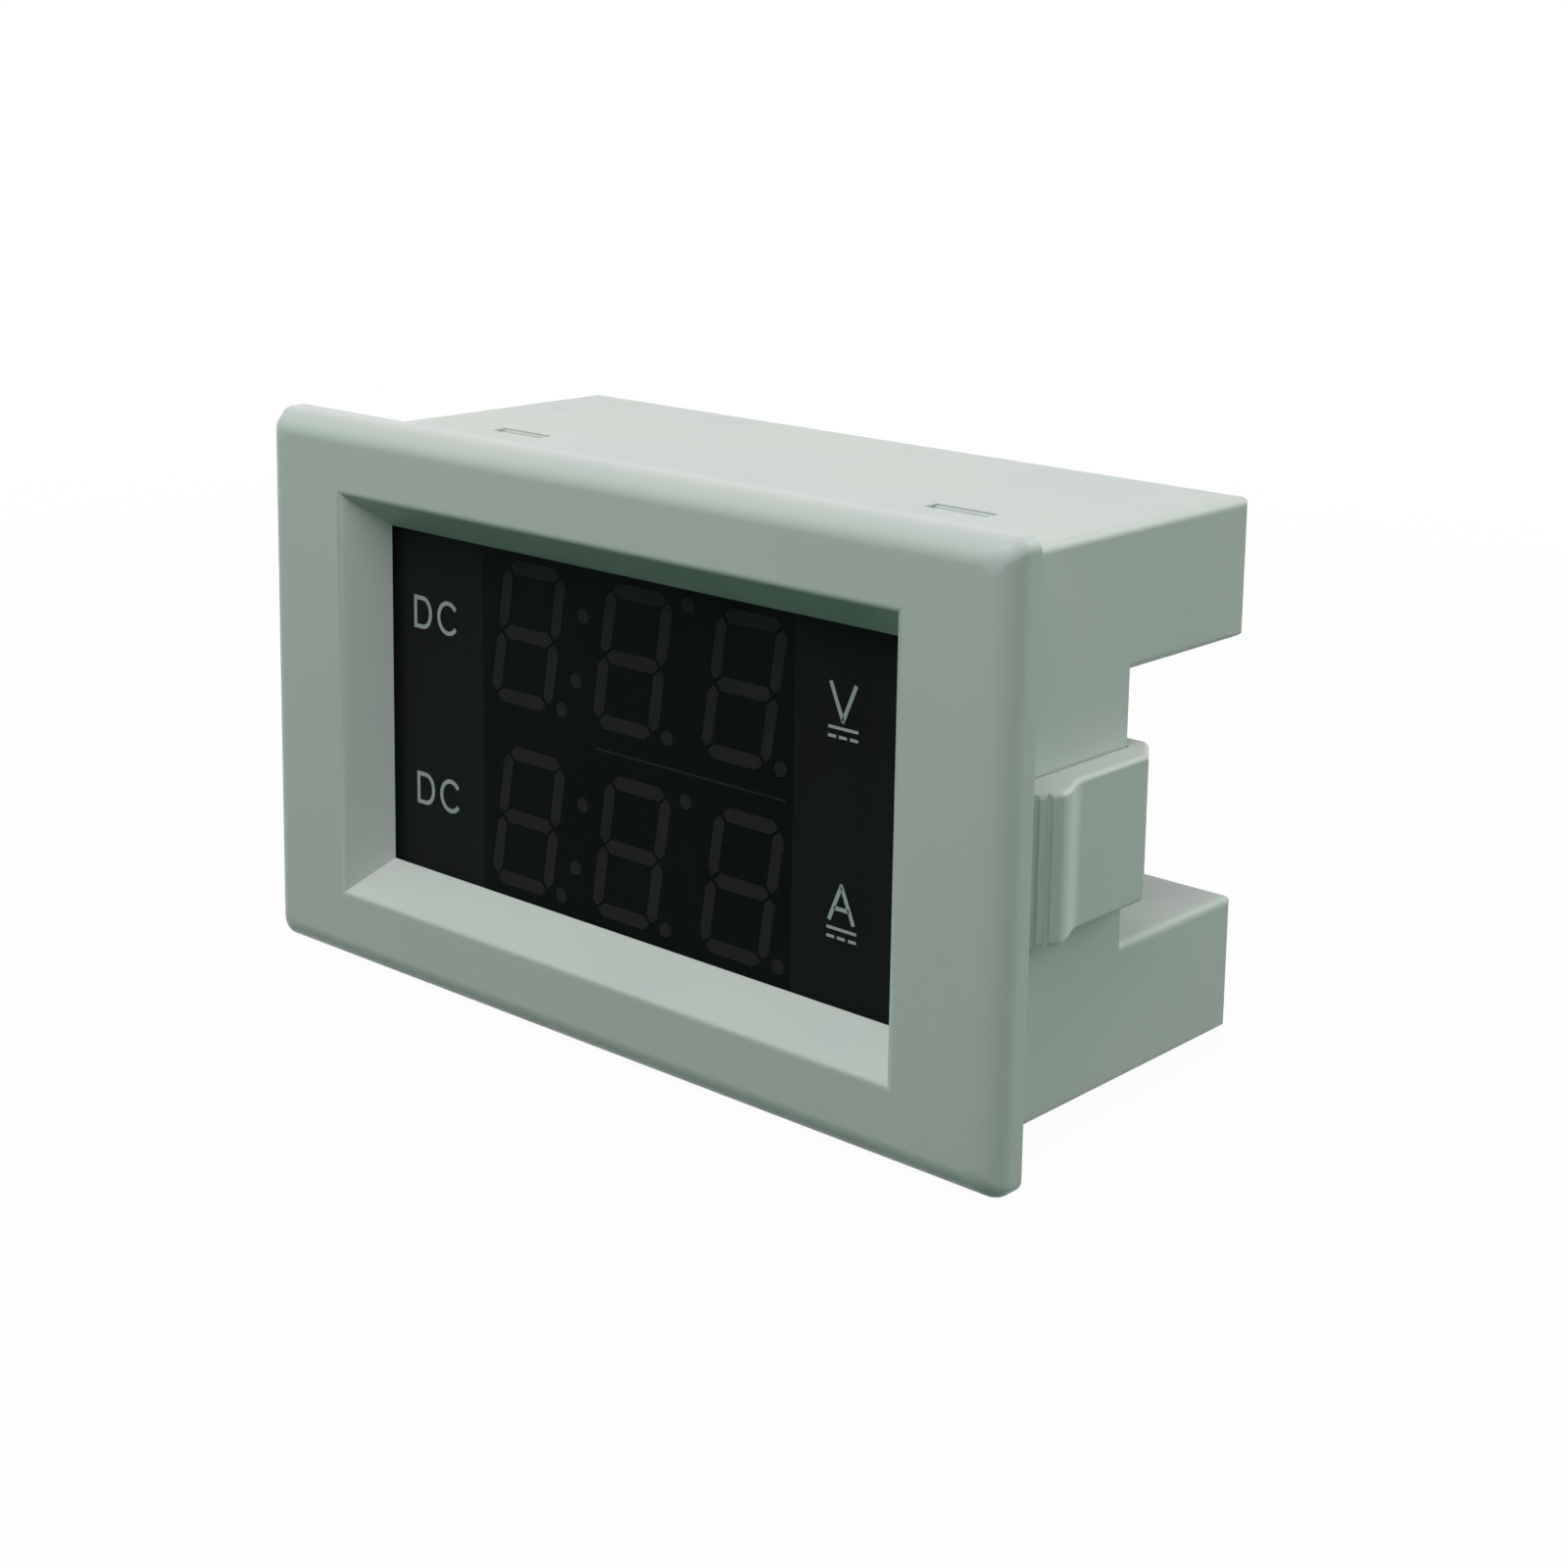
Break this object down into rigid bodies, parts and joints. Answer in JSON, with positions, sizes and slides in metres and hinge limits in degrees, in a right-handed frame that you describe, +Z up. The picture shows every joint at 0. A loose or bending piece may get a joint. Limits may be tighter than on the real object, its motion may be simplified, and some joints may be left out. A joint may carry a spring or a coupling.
{
  "type": "digital panel meter",
  "caption": "Rectangular panel meter with a sloped bezel round a dark window, stacked segment displays, a rear terminal channel and sliding side clips.",
  "frame": {"origin": "middle of the plane where the back of the flange seats on the panel", "axes": "+X to the right seen from the front, +Y back through the panel, +Z up"},
  "size_m": [0.085, 0.0377, 0.0502],
  "materials": {
    "abs_bezel": "smooth moulded ABS, slight gloss",
    "abs_housing": "fine satin moulded ABS",
    "smoked_window": "dark tinted clear plastic",
    "display_shell": "black face with grey segments",
    "circuit_board": "green solder mask",
    "black_plastic": "moulded black plastic",
    "tinned_brass": "tinned",
    "nickel_steel": "nickel-plated steel",
    "zinc_screw": "zinc-plated",
    "capacitor_sleeve": "shrunk sleeve",
    "ferrite": "ferrite",
    "film_box": "moulded box",
    "manganin": "drawn wire",
    "trimmer_case": "moulded",
    "trimmer_brass": "turned"
  },
  "bodies": {
    "meter": {"bezel": "abs_bezel", "lens_window": "smoked_window", "volt_display": "display_shell", "amp_display": "display_shell", "display_board": "circuit_board", "display_screws": "zinc_screw", "header_left": "black_plastic", "header_right": "black_plastic", "main_board": "circuit_board", "board_screws": "zinc_screw", "controller_chip": "black_plastic", "supply_capacitor_1": "capacitor_sleeve", "supply_capacitor_2": "capacitor_sleeve", "supply_inductor": "ferrite", "voltage_regulator": "black_plastic", "input_capacitor": "film_box", "current_shunt": "manganin", "volt_trimmer": "trimmer_case", "amp_trimmer": "trimmer_case", "housing": "abs_housing", "terminal_block": "black_plastic", "terminal_contact_1": "tinned_brass", "terminal_contact_2": "tinned_brass", "terminal_contact_3": "tinned_brass", "terminal_contact_4": "tinned_brass", "terminal_contact_5": "tinned_brass", "terminal_contact_6": "tinned_brass"},
    "clip_left": {"clip_left": "abs_housing"},
    "clip_right": {"clip_right": "abs_housing"},
    "volt_trimmer_rotor": {"volt_trimmer_rotor": "trimmer_brass"},
    "amp_trimmer_rotor": {"amp_trimmer_rotor": "trimmer_brass"},
    "clamp_1": {"clamp_plate_1": "nickel_steel"},
    "screw_1": {"terminal_screw_1": "nickel_steel"},
    "clamp_2": {"clamp_plate_2": "nickel_steel"},
    "screw_2": {"terminal_screw_2": "nickel_steel"},
    "clamp_3": {"clamp_plate_3": "nickel_steel"},
    "screw_3": {"terminal_screw_3": "nickel_steel"},
    "clamp_4": {"clamp_plate_4": "nickel_steel"},
    "screw_4": {"terminal_screw_4": "nickel_steel"},
    "clamp_5": {"clamp_plate_5": "nickel_steel"},
    "screw_5": {"terminal_screw_5": "nickel_steel"},
    "clamp_6": {"clamp_plate_6": "nickel_steel"},
    "screw_6": {"terminal_screw_6": "nickel_steel"}
  },
  "joints": [
    {"name": "clip_left_slide", "type": "slide", "parent": "meter", "child": "clip_left", "axis": [0, 1, 0], "range_m": [0, 0.006]},
    {"name": "clip_right_slide", "type": "slide", "parent": "meter", "child": "clip_right", "axis": [0, 1, 0], "range_m": [0, 0.006]},
    {"name": "volt_trimmer_turn", "type": "hinge", "parent": "meter", "child": "volt_trimmer_rotor", "pos_m": [-0.0305, 0.0146, 0], "axis": [0, 1, 0], "range_deg": [-135, 135]},
    {"name": "amp_trimmer_turn", "type": "hinge", "parent": "meter", "child": "amp_trimmer_rotor", "pos_m": [0.0305, 0.0146, 0], "axis": [0, 1, 0], "range_deg": [-135, 135]},
    {"name": "clamp_1_lift", "type": "slide", "parent": "meter", "child": "clamp_1", "axis": [0, 1, 0], "range_m": [0, 0.002]},
    {"name": "screw_1_turn", "type": "hinge", "parent": "clamp_1", "child": "screw_1", "pos_m": [-0.01588, 0.023, 0], "axis": [0, 1, 0], "range_deg": [0, 1440]},
    {"name": "clamp_2_lift", "type": "slide", "parent": "meter", "child": "clamp_2", "axis": [0, 1, 0], "range_m": [0, 0.002]},
    {"name": "screw_2_turn", "type": "hinge", "parent": "clamp_2", "child": "screw_2", "pos_m": [-0.00953, 0.023, 0], "axis": [0, 1, 0], "range_deg": [0, 1440]},
    {"name": "clamp_3_lift", "type": "slide", "parent": "meter", "child": "clamp_3", "axis": [0, 1, 0], "range_m": [0, 0.002]},
    {"name": "screw_3_turn", "type": "hinge", "parent": "clamp_3", "child": "screw_3", "pos_m": [-0.00317, 0.023, 0], "axis": [0, 1, 0], "range_deg": [0, 1440]},
    {"name": "clamp_4_lift", "type": "slide", "parent": "meter", "child": "clamp_4", "axis": [0, 1, 0], "range_m": [0, 0.002]},
    {"name": "screw_4_turn", "type": "hinge", "parent": "clamp_4", "child": "screw_4", "pos_m": [0.00317, 0.023, 0], "axis": [0, 1, 0], "range_deg": [0, 1440]},
    {"name": "clamp_5_lift", "type": "slide", "parent": "meter", "child": "clamp_5", "axis": [0, 1, 0], "range_m": [0, 0.002]},
    {"name": "screw_5_turn", "type": "hinge", "parent": "clamp_5", "child": "screw_5", "pos_m": [0.00953, 0.023, 0], "axis": [0, 1, 0], "range_deg": [0, 1440]},
    {"name": "clamp_6_lift", "type": "slide", "parent": "meter", "child": "clamp_6", "axis": [0, 1, 0], "range_m": [0, 0.002]},
    {"name": "screw_6_turn", "type": "hinge", "parent": "clamp_6", "child": "screw_6", "pos_m": [0.01588, 0.023, 0], "axis": [0, 1, 0], "range_deg": [0, 1440]}
  ],
  "couplings": [
    {"joint": "screw_1_turn", "follows": "clamp_1_lift", "rad_per_m": 12566},
    {"joint": "screw_2_turn", "follows": "clamp_2_lift", "rad_per_m": 12566},
    {"joint": "screw_3_turn", "follows": "clamp_3_lift", "rad_per_m": 12566},
    {"joint": "screw_4_turn", "follows": "clamp_4_lift", "rad_per_m": 12566},
    {"joint": "screw_5_turn", "follows": "clamp_5_lift", "rad_per_m": 12566},
    {"joint": "screw_6_turn", "follows": "clamp_6_lift", "rad_per_m": 12566}
  ]
}
